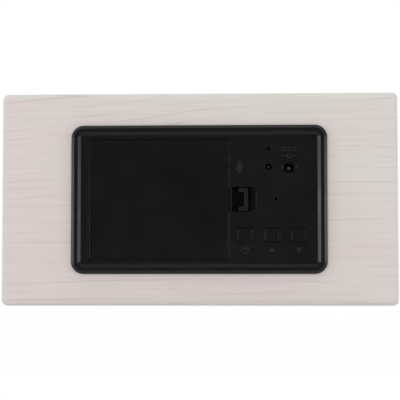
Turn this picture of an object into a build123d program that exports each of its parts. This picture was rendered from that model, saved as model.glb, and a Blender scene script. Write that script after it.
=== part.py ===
from build123d import *
import math
import os

# A wooden digital alarm clock whose digits shine through the film on its front.
# Millimetres. The display looks along -Y, the battery panel along +Y, and +Z is up.
# The origin is the middle of the base. On the panel, left and right are as seen from
# behind, so they run against +X, and places count from the middle of the panel.

# How far a cutting shape runs past what it cuts
overrun = 1.0

# The wooden case
case_width = 150.0
case_height = 80.5
case_depth = 40.0
wall_thickness = 5.0
case_edge_radius = 3.0
end_film_thickness = 0.6
end_edge_radius = 2.0
front_film_thickness = 0.5

# The cells
cell_count = 4
cell_diameter = 10.5
cell_length = 44.5
nub_diameter = 3.8
nub_height = 0.9
cell_rounding = 0.4
cell_spacing = 0.35
cell_side_gap = 0.4
cell_floor_gap = 0.4
cell_lid_gap = 0.6

# The battery contacts
contact_thickness = 0.4
contact_width = 9.0
contact_height = 7.0
dimple_radius = 2.2
dimple_height = 0.5
contact_gap = 0.05
tail_width = 3.0
tail_landing = 1.0
tail_gap = 0.2
spring_wire = 0.5
spring_length = 4.2
spring_base_radius = 3.4
spring_tip_radius = 2.0
spring_turns = 3
spring_flat_turn_share = 0.25

# The rear panel
rim_height = 2.0
tray_depth = 1.2
plate_thickness = 2.0
rim_bevel = 1.15
rim_crest = 1.3
rim_slope = 1.25
slope_rounding = 0.9
field_corner = 1.0
panel_drop = 0.3
flange_overlap = 2.65
cutout_gap = 0.35
skirt_wall = 1.4
skirt_depth = 4.8
tub_wall = 1.2
tub_floor = 1.4
cradle_width = 1.2
cradle_height = 2.2
cradle_length_share = 0.7

# The snap hooks behind the wood
hook_width = 7.0
hook_length = 1.6
hook_reach = 0.8
hook_land = 0.5
hook_gap = 0.1
hook_slit = 0.8
hook_side_place = 12.0

# The battery door
door_ledge = 1.27
door_side_ledge = 0.8
door_gap = 0.25
door_corner = 0.6
door_edge = 0.25
door_left_margin = 3.1
door_end_margin = 1.65
hinge_tab_width = 6.0
hinge_tab_length = 2.0
hinge_tab_thickness = 1.2
hinge_tab_root = 1.4
hinge_tab_gap = 0.3
hinge_tab_place = 13.0
hinge_notch_depth = 2.8
hinge_notch_gap = 0.4

# The door latch and its recess
latch_lip = 1.27
latch_height = 9.1
latch_gap = 0.25
latch_leg = 0.9
latch_valley = 4.6
latch_bar = 1.4
latch_floor = 1.2
latch_depth = 7.6
latch_stub = 0.6
latch_inset = 0.9
latch_rounding = 0.3
gusset_length = 2.0
gusset_thickness = 1.8
nose_length = 0.7
nose_height = 1.2
nose_lift = 0.3
nose_gap = 0.35
finger_gap = 3.15
recess_corner = 2.6
shelf_inset = 2.8
shelf_thickness = 1.2
pocket_wall = 1.2
pocket_floor = 1.0
pocket_gap = 0.4

# The controls on the right of the panel
control_width = 33.5
button_names = ("left", "middle", "right")
button_pitch = 10.16
button_row_shift = -0.4
button_row_up = -13.5
button_width = 5.4
button_height = 4.9
button_gap = 0.3
button_proud = 0.2
button_corner = 0.4
button_edge = 0.25
button_flange = 1.0
button_flange_thickness = 0.8
button_flange_gap = 0.1
plunger_radius = 1.5
switch_size = 6.0
switch_height = 3.5
stem_radius = 1.75
stem_proud = 1.0
stem_length = 2.4
stem_gap = 0.1
stem_room = 0.7

# The reset switch behind its pinhole
sensor_column_shift = -1.64
reset_up = 19.15
reset_hole_radius = 0.75
reset_size = 4.5
reset_height = 3.0
reset_stem_radius = 1.1
reset_stem_proud = 4.2
reset_stem_length = 5.2

# The temperature bead behind its hole
sensor_up = 12.2
sensor_hole_radius = 1.3
sensor_bead_radius = 1.0
sensor_bead_rise = 8.4
sensor_lead_radius = 0.25
sensor_lead_spacing = 1.1

# The power inlet
inlet_shift = 6.1
inlet_up = 11.85
inlet_hole_radius = 2.1
inlet_ring_radius = 2.75
inlet_ring_depth = 0.3
inlet_size = 8.6
inlet_bore_radius = 2.0
inlet_floor = 1.4
inlet_sleeve_wall = 0.3
inlet_sleeve_length = 5.0
inlet_pin_radius = 0.65
inlet_pin_foot_radius = 1.0
inlet_pin_inset = 1.9
inlet_pin_rounding = 0.4
inlet_fit = 0.02

# The buzzer behind the sound port
port_shift = 1.2
port_up = 0.2
port_radius = 0.6
buzzer_radius = 4.5
buzzer_height = 5.5
buzzer_mouth_radius = 1.0
buzzer_mouth_depth = 1.2

# The main board
board_standoff = 8.2
board_thickness = 1.6
board_side_gap = 0.7
board_bay_gap = 1.9
board_corner = 1.0
boss_radius = 2.3
boss_inset = 2.5
boss_bore_depth = 6.0

# The chips, crystal and capacitor
chip_length = 10.0
chip_width = 4.0
chip_thickness = 1.5
chip_lift = 0.1
chip_leg_count = 8
chip_leg_pitch = 1.2
chip_leg_width = 0.45
chip_leg_thickness = 0.2
chip_leg_reach = 1.1
chip_up = 13.0
driver_length = 15.0
driver_width = 7.5
driver_thickness = 2.3
driver_leg_count = 12
driver_across = 20.0
crystal_length = 10.8
crystal_width = 4.5
crystal_corner_share = 0.48
crystal_height = 3.5
crystal_shift = -5.0
crystal_up = -15.0
capacitor_radius = 3.15
capacitor_height = 7.0
capacitor_rounding = 0.5
capacitor_shift = 9.0
capacitor_up = -12.0

# The ribbon cable between the boards
ribbon_width = 12.7
ribbon_thickness = 0.8
ribbon_bend = 5.5
ribbon_drop = 14.0
socket_width = 15.4
socket_height = 6.0
socket_thickness = 3.6
socket_depth = 4.0
socket_gap = 0.1
socket_up = 3.0

# The screws
screw_fit = 0.05
cross_width_share = 0.28
cross_length_share = 1.3
cross_depth_share = 0.5
board_screw_radius = 0.95
board_screw_head_radius = 1.9
board_screw_head = 1.4
board_screw_bite = 5.0
mask_screw_radius = 1.1
mask_screw_head_radius = 2.2
mask_screw_head = 1.5
mask_screw_bite = 3.0
display_screw_radius = 0.8
display_screw_head_radius = 1.6
display_screw_head = 1.2
display_screw_bite = 4.0
screw_point_share = 0.6

# The display
digit_height = 30.0
digit_gap_share = 0.35
segment_width = 4.2
segment_gap = 0.6
colon_gap_share = 1.12
colon_radius = 2.1
colon_place_share = 0.22
display_side_room = 7.4
display_side_share = 0.38
display_end_margin = 6.0
diffuser_thickness = 0.3
mask_gap = 0.3
mask_depth = 10.2
mask_flange = 6.0
mask_flange_thickness = 2.0
display_screw_inset = 2.6
led_length = 3.5
led_width = 2.8
led_height = 0.9

# Levels along Y, from the front film to the rim of the panel
overall_depth = case_depth + rim_height
front_level = -overall_depth / 2
film_level = front_level + front_film_thickness
front_wall_level = front_level + wall_thickness
wood_level = front_level + case_depth
back_wall_level = wood_level - wall_thickness
rim_level = wood_level + rim_height
field_level = rim_level - tray_depth
under_level = field_level - plate_thickness
cell_level = under_level - cell_lid_gap - cell_diameter / 2
bay_floor_level = cell_level - cell_diameter / 2 - cell_floor_gap
skirt_level = under_level - skirt_depth
board_level = under_level - board_standoff
board_front_level = board_level - board_thickness
case_middle_y = front_level + case_depth / 2
case_middle_z = case_height / 2
panel_middle_z = case_middle_z - panel_drop

# The panel, worked out from the cells it holds
cell_pitch = cell_diameter + cell_spacing
contact_room = contact_thickness + contact_gap
bay_length = 2 * contact_room + contact_gap + dimple_height + cell_length + spring_length
bay_height = cell_count * cell_pitch - cell_spacing + 2 * cell_side_gap
door_width = bay_length + 2 * door_ledge
door_height = bay_height + 2 * door_side_ledge
field_width = door_left_margin + door_width + control_width
field_height = door_height + 2 * door_end_margin
rim_width = rim_slope + rim_crest + rim_bevel
panel_width = field_width + 2 * rim_width
panel_height = field_height + 2 * rim_width
panel_corner = field_corner + rim_width
cutout_width = panel_width - 2 * flange_overlap
cutout_height = panel_height - 2 * flange_overlap
cutout_corner = panel_corner - rim_bevel
skirt_width = cutout_width - 2 * cutout_gap
skirt_height = cutout_height - 2 * cutout_gap
skirt_corner = cutout_corner - cutout_gap
skirt_inner_width = skirt_width - 2 * skirt_wall
skirt_inner_height = skirt_height - 2 * skirt_wall
door_left = door_left_margin - field_width / 2
door_right = door_left + door_width
bay_left = door_left + door_ledge
bay_right = bay_left + bay_length
control_middle = door_right + control_width / 2
cell_rows = [cell_pitch * ((cell_count - 1) / 2 - row) for row in range(cell_count)]

# The latch, counted from the door's edge
lip_right = door_right + latch_lip
bar_left = lip_right + latch_valley
bar_right = bar_left + latch_bar
recess_right = bar_right + finger_gap
shelf_left = bar_right + nose_length + nose_gap
latch_foot_level = field_level - latch_depth
latch_stub_level = latch_foot_level + latch_floor + latch_stub
latch_top_level = field_level - latch_inset
pocket_left = bay_right + tub_wall
pocket_level = latch_foot_level - pocket_gap
recess_height = latch_height + 2 * latch_gap

# The controls and the main board
button_places = [control_middle + button_row_shift + button_pitch * step for step in (-1, 0, 1)]
sensor_across = control_middle + sensor_column_shift
inlet_across = control_middle + inlet_shift
port_across = control_middle + port_shift
stem_level = board_level + switch_height + stem_proud
flange_level = under_level - button_flange_gap
board_left = bay_right + tub_wall + board_bay_gap
board_right = skirt_inner_width / 2 - board_side_gap
board_height = skirt_inner_height - 2 * board_side_gap
boss_places = [
    (across, up)
    for across in (board_left + boss_inset, board_right - boss_inset)
    for up in (board_height / 2 - boss_inset, boss_inset - board_height / 2)
]

# The display, counted from the front
sleeve_length = case_width - 2 * end_film_thickness
film_width = case_width - 2 * end_edge_radius
film_height = case_height - 2 * case_edge_radius
window_width = sleeve_length - 2 * (wall_thickness + display_side_room + mask_flange)
digit_width = window_width / (4 + 2 * display_side_share + 2 * digit_gap_share + colon_gap_share)
inner_digit = digit_width * (1 + colon_gap_share) / 2
outer_digit = inner_digit + digit_width * (1 + digit_gap_share)
digit_places = [-outer_digit, -inner_digit, inner_digit, outer_digit]
window_height = digit_height + 2 * display_end_margin
mask_width = window_width - 2 * mask_gap
mask_height = window_height - 2 * mask_gap
mask_level = film_level + diffuser_thickness
display_level = mask_level + mask_depth
display_back_level = display_level + board_thickness
flange_back_level = front_wall_level + mask_flange_thickness
mask_screw_places = [
    (side * (window_width + mask_flange) / 2, end * (window_height + mask_flange) / 2)
    for side in (-1, 1)
    for end in (-1, 1)
]
display_screw_places = [
    (side * (mask_width / 2 - display_screw_inset), end * (mask_height / 2 - display_screw_inset))
    for side in (-1, 1)
    for end in (-1, 1)
]
ribbon_across = control_middle

standing = (Align.CENTER, Align.CENTER, Align.MIN)


def back_plane(level):
    """Drawing plane seen from behind: across to the right, up, and out along +Y."""
    return Plane(origin=(0, level, panel_middle_z), x_dir=(-1, 0, 0), z_dir=(0, 1, 0))


def front_plane(level):
    """Drawing plane seen from the front: across to the right, up, and out along -Y."""
    return Plane(origin=(0, level, case_middle_z), x_dir=(1, 0, 0), z_dir=(0, -1, 0))


def back_block(left, right, bottom, top, inner, outer):
    """Block between two levels, placed as seen from behind."""
    middle = Pos((left + right) / 2, (bottom + top) / 2)
    return back_plane(inner) * middle * Box(right - left, top - bottom, outer - inner, align=standing)


def back_pad(across, up, width, height, inner, outer):
    """Block between two levels, placed by its middle as seen from behind."""
    return back_plane(inner) * Pos(across, up) * Box(width, height, outer - inner, align=standing)


def back_post(across, up, radius, inner, outer):
    """Round post between two levels, placed as seen from behind."""
    return back_plane(inner) * Pos(across, up) * Cylinder(radius, outer - inner, align=standing)


def back_slab(width, height, corner, inner, outer, across=0, up=0):
    """Block with rounded corners between two levels, placed as seen from behind."""
    outline = back_plane(inner) * Pos(across, up) * RectangleRounded(width, height, corner)
    return extrude(outline, outer - inner)


def front_pad(across, up, width, height, front, back):
    """Block between two levels, placed by its middle as seen from the front."""
    return front_plane(back) * Pos(across, up) * Box(width, height, back - front, align=standing)


def front_post(across, up, radius, front, back):
    """Round post between two levels, placed as seen from the front."""
    return front_plane(back) * Pos(across, up) * Cylinder(radius, back - front, align=standing)


def outer_edges(piece):
    """Edges round the face of a piece that lies furthest along +Y."""
    return piece.faces().sort_by(Axis.Y)[-1].edges()


def group(pieces):
    """Separate solids that share one node."""
    return Compound(children=[solid for piece in pieces for solid in piece.solids()])


def case_inside(start, length):
    """Length of the hollow inside the case walls, from a place along X."""
    middle = Pos(case_middle_y, case_middle_z)
    outline = middle * Rectangle(case_depth - 2 * wall_thickness, case_height - 2 * wall_thickness)
    return Pos(start, 0, 0) * extrude(Plane.YZ * outline, length)


def case_block():
    """Full block of the case with all its edges rounded."""
    middle = Pos(case_middle_y, case_middle_z)
    outline = middle * RectangleRounded(case_depth, case_height, case_edge_radius)
    block = Pos(-case_width / 2, 0, 0) * extrude(Plane.YZ * outline, case_width)
    ends = block.faces().sort_by(Axis.X)
    return fillet(ends[0].edges() + ends[-1].edges(), end_edge_radius)


def case_slice(start, length):
    """Slice of the case block, from a place along X."""
    from_start = (Align.MIN, Align.CENTER, Align.CENTER)
    slab = Box(length, 2 * case_depth, 2 * case_height, align=from_start)
    return case_block() & Pos(start, case_middle_y, case_middle_z) * slab


def make_wood_case():
    """Sleeve of film-faced board with the display window and the panel cut-out."""
    sleeve = case_slice(-sleeve_length / 2, sleeve_length)
    sleeve -= case_inside(-case_width / 2, case_width)
    sleeve -= front_pad(0, 0, film_width, film_height, front_level - overrun, film_level)
    sleeve -= front_pad(0, 0, window_width, window_height, front_level, front_wall_level + overrun)
    sleeve -= back_slab(
        cutout_width, cutout_height, cutout_corner, back_wall_level - overrun, wood_level + overrun
    )
    for across, up in mask_screw_places:
        bore_end = front_wall_level - mask_screw_bite
        sleeve -= front_post(across, up, mask_screw_radius + screw_fit, bore_end, front_wall_level)
    return sleeve


def make_front_film():
    """Translucent film let into the front of the sleeve."""
    return front_pad(0, 0, film_width, film_height, front_level, film_level)


def make_end_board(side):
    """Board that closes one end of the sleeve."""
    start = sleeve_length / 2 - wall_thickness if side > 0 else -sleeve_length / 2
    return case_inside(start, wall_thickness)


def make_end_film(side):
    """Film over one end, its outer edge rounded with the case."""
    start = sleeve_length / 2 if side > 0 else -case_width / 2
    return case_slice(start, end_film_thickness)


def tray_cut():
    """Hollow of the tray, widening from the field to the crest of the rim, with a rounded foot."""
    rise = tray_depth + overrun
    spread = 2 * rim_slope * rise / tray_depth
    low = back_plane(field_level) * RectangleRounded(field_width, field_height, field_corner)
    high = back_plane(field_level + rise) * RectangleRounded(
        field_width + spread, field_height + spread, field_corner + spread / 2
    )
    hollow = loft([low, high], ruled=True)
    return fillet(hollow.faces().sort_by(Axis.Y)[0].edges(), slope_rounding)


def recess_solid(growth, left, inner, outer):
    """D-shaped solid of the latch recess, grown by a wall thickness."""
    right = recess_right + growth
    outline = Pos((left + right) / 2, 0) * Rectangle(right - left, recess_height + 2 * growth)
    outline = fillet(outline.vertices().group_by(Axis.X)[-1], recess_corner + growth)
    return extrude(back_plane(inner) * outline, outer - inner)


def hook_places():
    """Middle and outward direction of each snap hook on the skirt."""
    half_width = skirt_width / 2
    half_height = skirt_height / 2
    places = []
    for step in (-1, 1):
        places.append((-half_width, step * hook_side_place, -1, 0))
        places.append((half_width, step * hook_side_place, 1, 0))
        places.append((control_middle, step * half_height, 0, step))
    return places


def snap_hook(across, up, out_across, out_up):
    """Arm below the skirt with a barb that catches behind the wood."""
    outward = Vector(-out_across, 0, out_up)
    middle = Vector(-across, 0, panel_middle_z + up)
    plane = Plane(origin=middle, x_dir=outward, z_dir=outward.cross(Vector(0, 1, 0)))
    arm_level = under_level - hook_slit
    barb_level = back_wall_level - hook_gap
    tip_level = skirt_level - hook_length
    reach = cutout_gap + hook_reach
    profile = Polyline(
        (-skirt_wall, arm_level),
        (0, arm_level),
        (0, barb_level),
        (reach, barb_level),
        (reach, barb_level - hook_land),
        (0, tip_level),
        (-skirt_wall, tip_level),
        close=True,
    )
    return extrude(plane * make_face(profile), hook_width / 2, both=True)


def hook_slits(across, up, out_across, out_up):
    """Slits in the skirt on both sides of a snap hook, so that its arm can bend."""
    slits = []
    shift = (hook_width + hook_slit) / 2
    for step in (-1, 1):
        place_across = across + step * shift * abs(out_up) - out_across * skirt_wall / 2
        place_up = up + step * shift * abs(out_across) - out_up * skirt_wall / 2
        width = hook_slit if out_up else skirt_wall + 2 * cutout_gap
        height = hook_slit if out_across else skirt_wall + 2 * cutout_gap
        slits.append(
            back_pad(place_across, place_up, width, height, skirt_level - overrun, under_level - hook_slit)
        )
    return slits


def make_rear_panel():
    """Moulding with rim, field, skirt, latch pocket and bosses."""
    panel = back_slab(panel_width, panel_height, panel_corner, wood_level, rim_level)
    panel = chamfer(outer_edges(panel), rim_bevel)
    panel += back_slab(skirt_width, skirt_height, skirt_corner, under_level, wood_level)
    panel -= tray_cut()
    crest = panel.faces().sort_by(Axis.Y)[-1]
    panel = fillet(crest.inner_wires()[0].edges(), slope_rounding)
    inner_corner = skirt_corner - skirt_wall
    skirt = back_slab(skirt_width, skirt_height, skirt_corner, skirt_level, under_level)
    skirt -= back_slab(
        skirt_inner_width, skirt_inner_height, inner_corner, skirt_level - overrun, under_level
    )
    for place in hook_places():
        skirt -= hook_slits(*place)
        skirt += snap_hook(*place)
    panel += skirt
    panel += recess_solid(pocket_wall, pocket_left, pocket_level - pocket_floor, under_level)
    for across, up in boss_places:
        panel += back_post(across, up, boss_radius, board_level, under_level)
    panel -= back_slab(
        door_width + 2 * door_gap,
        door_height + 2 * door_gap,
        door_corner + door_gap,
        under_level,
        field_level + overrun,
        across=(door_left + door_right) / 2,
    )
    panel -= recess_solid(0, pocket_left, pocket_level, field_level + overrun)
    shelf_top = field_level - shelf_inset
    shelf_half = recess_height / 2
    shelf_foot = shelf_top - shelf_thickness
    shelf = recess_solid(0, pocket_left, shelf_foot, shelf_top)
    panel += shelf & back_block(shelf_left, recess_right, -shelf_half, shelf_half, shelf_foot, shelf_top)
    for across in button_places:
        window = back_slab(
            button_width + 2 * button_gap,
            button_height + 2 * button_gap,
            button_corner + button_gap,
            under_level - overrun,
            field_level + overrun,
            across=across,
            up=button_row_up,
        )
        panel -= window
    for across, up, radius in (
        (sensor_across, reset_up, reset_hole_radius),
        (sensor_across, sensor_up, sensor_hole_radius),
        (inlet_across, inlet_up, inlet_hole_radius),
        (port_across, port_up, port_radius),
    ):
        panel -= back_post(across, up, radius, under_level - overrun, field_level + overrun)
    ring_level = field_level - inlet_ring_depth
    panel -= back_post(inlet_across, inlet_up, inlet_ring_radius, ring_level, field_level + overrun)
    bore_radius = board_screw_radius + screw_fit
    for across, up in boss_places:
        panel -= back_post(across, up, bore_radius, board_level, board_level + boss_bore_depth)
    return panel


def make_battery_tub():
    """Tub for the cells that fits inside the skirt, notched for the door's hooks."""
    half_height = skirt_inner_height / 2
    foot_level = bay_floor_level - tub_floor
    tub = back_block(
        bay_left - tub_wall, bay_right + tub_wall, -half_height, half_height, foot_level, under_level
    )
    tub -= back_block(
        bay_left, bay_right, -bay_height / 2, bay_height / 2, bay_floor_level, under_level + overrun
    )
    tab_room = hinge_tab_width + 2 * hinge_notch_gap
    for side in (-1, 1):
        tub -= back_block(
            bay_left - tub_wall - overrun,
            bay_left + overrun,
            side * hinge_tab_place - tab_room / 2,
            side * hinge_tab_place + tab_room / 2,
            under_level - hinge_notch_depth,
            under_level + overrun,
        )
    for row in (0, cell_count - 1):
        tub -= back_pad(
            pocket_left - tub_wall / 2,
            cell_rows[row],
            tub_wall + 2 * tail_gap,
            tail_width + 2 * tail_gap,
            board_level - tail_gap,
            board_level + contact_thickness + tail_gap,
        )
    cradle_length = cell_length * cradle_length_share
    for above, below in zip(cell_rows, cell_rows[1:]):
        tub += back_pad(
            (bay_left + bay_right) / 2,
            (above + below) / 2,
            cradle_length,
            cradle_width,
            bay_floor_level,
            bay_floor_level + cradle_height,
        )
    return tub


def make_battery_door():
    """Flush door with two hinge hooks and the fixed part of its latch spring."""
    middle = (door_left + door_right) / 2
    door = back_slab(door_width, door_height, door_corner, under_level, field_level, across=middle)
    door = fillet(outer_edges(door), door_edge)
    half = latch_height / 2
    door += back_block(door_right - latch_lip, lip_right, -half, half, under_level, field_level)
    door += back_block(lip_right - latch_leg, lip_right, -half, half, latch_foot_level, under_level)
    floor_level = latch_foot_level + latch_floor
    door += back_block(lip_right - latch_leg, bar_right, -half, half, latch_foot_level, floor_level)
    door += back_block(bar_left, bar_right, -half, half, floor_level, latch_stub_level)
    tab_top = under_level - hinge_tab_gap
    tab_foot = tab_top - hinge_tab_thickness
    for side in (-1, 1):
        low = side * hinge_tab_place - hinge_tab_width / 2
        high = side * hinge_tab_place + hinge_tab_width / 2
        door += back_block(door_left, door_left + hinge_tab_root, low, high, tab_foot, under_level)
        door += back_block(door_left - hinge_tab_length, door_left, low, high, tab_foot, tab_top)
    return door


def make_door_latch():
    """Free leg of the latch spring, with its gussets and the nose that catches the shelf."""
    half = latch_height / 2
    latch = back_block(bar_left, bar_right, -half, half, latch_stub_level, latch_top_level)
    for side in (-1, 1):
        near = side * half
        far = side * (half - gusset_thickness)
        latch += back_block(
            bar_left - gusset_length,
            bar_left,
            min(near, far),
            max(near, far),
            latch_stub_level,
            latch_top_level,
        )
    latch = fillet(outer_edges(latch), latch_rounding)
    nose_foot = latch_stub_level + nose_lift
    nose_top = nose_foot + nose_height
    latch += back_block(bar_right, bar_right + nose_length, -half, half, nose_foot, nose_top)
    return latch


def make_button(across):
    """Cap with a flange under the panel and a plunger over its switch."""
    top = field_level + button_proud
    flange_width = button_width + 2 * button_flange
    flange_height = button_height + 2 * button_flange
    flange_foot = flange_level - button_flange_thickness
    cap = back_slab(button_width, button_height, button_corner, flange_foot, top, across, button_row_up)
    cap = fillet(outer_edges(cap), button_edge)
    cap += back_pad(across, button_row_up, flange_width, flange_height, flange_foot, flange_level)
    cap += back_post(across, button_row_up, plunger_radius, stem_level, flange_foot)
    return cap


def make_switch(across, up, size, height, radius, floor_level):
    """Switch housing on the main board, open at the top for its stem."""
    top = board_level + height
    housing = back_pad(across, up, size, size, board_level, top)
    return housing - back_post(across, up, radius + stem_gap, floor_level, top + overrun)


def make_inlet():
    """Socket body of the power inlet, with its bore stepped for the sleeve."""
    body = back_pad(inlet_across, inlet_up, inlet_size, inlet_size, board_level, under_level)
    floor_level = board_level + inlet_floor
    sleeve_radius = inlet_bore_radius + inlet_sleeve_wall
    sleeve_level = floor_level + inlet_sleeve_length
    body -= back_post(inlet_across, inlet_up, inlet_bore_radius, floor_level, under_level + overrun)
    body -= back_post(inlet_across, inlet_up, sleeve_radius, floor_level, sleeve_level)
    foot_radius = inlet_pin_foot_radius + inlet_fit
    return body - back_post(inlet_across, inlet_up, foot_radius, board_level - overrun, floor_level)


def make_inlet_sleeve():
    """Contact tube that lines the lower part of the bore."""
    floor_level = board_level + inlet_floor
    sleeve_level = floor_level + inlet_sleeve_length
    sleeve_radius = inlet_bore_radius + inlet_sleeve_wall - inlet_fit
    tube = back_post(inlet_across, inlet_up, sleeve_radius, floor_level, sleeve_level)
    return tube - back_post(
        inlet_across, inlet_up, inlet_bore_radius, floor_level - overrun, sleeve_level + overrun
    )


def make_inlet_pin():
    """Centre pin of the power inlet on its foot, with a rounded tip."""
    floor_level = board_level + inlet_floor
    tip_level = field_level - inlet_pin_inset
    pin = back_post(inlet_across, inlet_up, inlet_pin_radius, floor_level, tip_level)
    pin = fillet(outer_edges(pin), inlet_pin_rounding)
    return pin + back_post(inlet_across, inlet_up, inlet_pin_foot_radius, board_level, floor_level)


def sensor_leads():
    """Two wires that carry the temperature bead above the board."""
    bead_level = board_level + sensor_bead_rise
    return [
        back_post(
            sensor_across + step * sensor_lead_spacing / 2,
            sensor_up,
            sensor_lead_radius,
            board_level,
            bead_level,
        )
        for step in (-1, 1)
    ]


def make_sensor_bead():
    """Temperature bead around the ends of its wires."""
    middle = back_plane(board_level + sensor_bead_rise) * Pos(sensor_across, sensor_up)
    bead = middle * Sphere(sensor_bead_radius)
    for lead in sensor_leads():
        bead -= lead
    return bead


def make_buzzer():
    """Round buzzer with its mouth under the sound port."""
    top = board_level + buzzer_height
    mouth_floor = top - buzzer_mouth_depth
    body = back_post(port_across, port_up, buzzer_radius, board_level, top)
    return body - back_post(port_across, port_up, buzzer_mouth_radius, mouth_floor, top + overrun)


def make_main_board():
    """Circuit board behind the controls, screwed to the bosses."""
    width = board_right - board_left
    middle = (board_left + board_right) / 2
    board = back_slab(width, board_height, board_corner, board_front_level, board_level, across=middle)
    hole_radius = board_screw_radius + screw_fit
    for across, up in boss_places:
        board -= back_post(across, up, hole_radius, board_front_level - overrun, board_level + overrun)
    return board


def chip_body(across, up, length, width, thickness, seat_level, facing):
    """Chip package a little off its board; facing is the way along Y that it stands out."""
    near = seat_level + facing * chip_lift
    far = near + facing * thickness
    return back_pad(across, up, length, width, min(near, far), max(near, far))


def chip_legs(across, up, count, width, thickness, seat_level, facing):
    """Legs along both long sides of a chip, each a foot on the board and a riser."""
    legs = []
    mid_level = seat_level + facing * (chip_lift + thickness / 2)
    foot_level = seat_level + facing * chip_leg_thickness
    for step in range(count):
        place = across + chip_leg_pitch * (step - (count - 1) / 2)
        for side in (-1, 1):
            root = up + side * width / 2
            riser = back_pad(
                place,
                root + side * chip_leg_thickness / 2,
                chip_leg_width,
                chip_leg_thickness,
                min(seat_level, mid_level),
                max(seat_level, mid_level),
            )
            foot = back_pad(
                place,
                root + side * chip_leg_reach / 2,
                chip_leg_width,
                chip_leg_reach,
                min(seat_level, foot_level),
                max(seat_level, foot_level),
            )
            legs.append(riser + foot)
    return legs


def make_crystal():
    """Low can of the clock crystal on the front face of the main board."""
    seat = board_front_level
    across = control_middle + crystal_shift
    corner = crystal_width * crystal_corner_share
    top = seat - crystal_height
    return back_slab(crystal_length, crystal_width, corner, top, seat, across, crystal_up)


def make_capacitor():
    """Round capacitor on the front face of the main board."""
    across = control_middle + capacitor_shift
    top = board_front_level - capacitor_height
    can = back_post(across, capacitor_up, capacitor_radius, top, board_front_level)
    return fillet(can.faces().sort_by(Axis.Y)[0].edges(), capacitor_rounding)


def make_socket(seat_level, facing):
    """Ribbon socket on a board, open below for the end of the ribbon."""
    near = seat_level
    far = seat_level + facing * socket_thickness
    middle_level = (near + far) / 2
    body = back_pad(ribbon_across, socket_up, socket_width, socket_height, min(near, far), max(near, far))
    slot_foot = socket_up - socket_height / 2 - overrun
    slot_top = socket_up - socket_height / 2 + socket_depth
    half_width = ribbon_width / 2 + socket_gap
    half_thickness = ribbon_thickness / 2 + socket_gap
    return body - back_block(
        ribbon_across - half_width,
        ribbon_across + half_width,
        slot_foot,
        slot_top,
        middle_level - half_thickness,
        middle_level + half_thickness,
    )


def make_ribbon():
    """Flat cable that hangs in a loop from one socket to the other."""
    main_level = board_front_level - socket_thickness / 2
    display_socket_level = display_back_level + socket_thickness / 2
    top = panel_middle_z + socket_up - socket_height / 2 + socket_depth - socket_gap
    foot = top - ribbon_drop
    route = FilletPolyline(
        (-ribbon_across, main_level, top),
        (-ribbon_across, main_level, foot),
        (-ribbon_across, display_socket_level, foot),
        (-ribbon_across, display_socket_level, top),
        radius=ribbon_bend,
    )
    start = Plane(origin=route @ 0, x_dir=(1, 0, 0), z_dir=route % 0)
    ribbon = sweep(start * Rectangle(ribbon_width, ribbon_thickness), route)
    expected = ribbon_width * ribbon_thickness * route.length
    print("ribbon: bend radius", ribbon_bend, "length", round(route.length, 2))
    print("ribbon: volume", round(ribbon.volume, 2), "section times length", round(expected, 2))
    return ribbon


def contact_sides():
    """Which end of each row holds the spring: -1 for the left end, 1 for the right end."""
    return [-1 if row % 2 == 0 else 1 for row in range(cell_count)]


def contact_face(side):
    """Place across of the face of a contact plate that looks into the bay."""
    return bay_left + contact_thickness if side < 0 else bay_right - contact_thickness


def contact_plate(side, rows):
    """Plate against one end of the bay over one or two rows, with a dimple for each nub."""
    wall = bay_left if side < 0 else bay_right
    face = contact_face(side)
    top = max(cell_rows[row] for row in rows) + contact_width / 2
    bottom = min(cell_rows[row] for row in rows) - contact_width / 2
    plate = back_block(
        min(wall, face),
        max(wall, face),
        bottom,
        top,
        cell_level - contact_height / 2,
        cell_level + contact_height / 2,
    )
    for row in rows:
        if contact_sides()[row] != side:
            lies = Plane(
                origin=(-face, cell_level, panel_middle_z + cell_rows[row]), z_dir=(side, 0, 0)
            )
            plate += lies * Cylinder(dimple_radius, dimple_height, align=standing)
    return plate


def terminal_plate(row):
    """End contact of the cell chain, with a tail that lands on the main board."""
    plate = contact_plate(1, (row,))
    return plate + back_pad(
        (contact_face(1) + board_left + tail_landing) / 2,
        cell_rows[row],
        board_left + tail_landing - contact_face(1),
        tail_width,
        board_level,
        board_level + contact_thickness,
    )


def coil_point(turn):
    """Point of the spring's wire after a number of turns, in radius and height."""
    rising = (turn - spring_flat_turn_share) / (spring_turns - 2 * spring_flat_turn_share)
    share = min(max(rising, 0), 1)
    radius = spring_base_radius + (spring_tip_radius - spring_base_radius) * share
    height = spring_wire / 2 + (spring_length - spring_wire) * share
    return Vector(
        radius * math.cos(2 * math.pi * turn), radius * math.sin(2 * math.pi * turn), height
    )


def coil_direction(turn):
    """Direction of the spring's wire after a number of turns."""
    step = spring_flat_turn_share / 2
    around = Vector(-math.sin(2 * math.pi * turn), math.cos(2 * math.pi * turn), 0)
    before = coil_point(turn - step)
    after = coil_point(turn + step)
    run = 2 * math.pi * 2 * step * coil_point(turn).length
    climb = Vector(0, 0, (after.Z - before.Z) / run)
    return (around + climb).normalized()


def biarc(start, start_direction, end, end_direction):
    """Two arcs that join two points along given directions."""
    span = end - start
    both = start_direction + end_direction
    turning = 2 * (1 - start_direction.dot(end_direction))
    along = span.dot(both)
    reach = (math.sqrt(along * along + turning * span.dot(span)) - along) / turning
    joint = (start + end + (start_direction - end_direction) * reach) / 2
    chord = (joint - start).normalized()
    joint_direction = chord * (2 * chord.dot(start_direction)) - start_direction
    return [
        TangentArc(start, joint, tangent=start_direction),
        TangentArc(joint, end, tangent=joint_direction),
    ]


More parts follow.
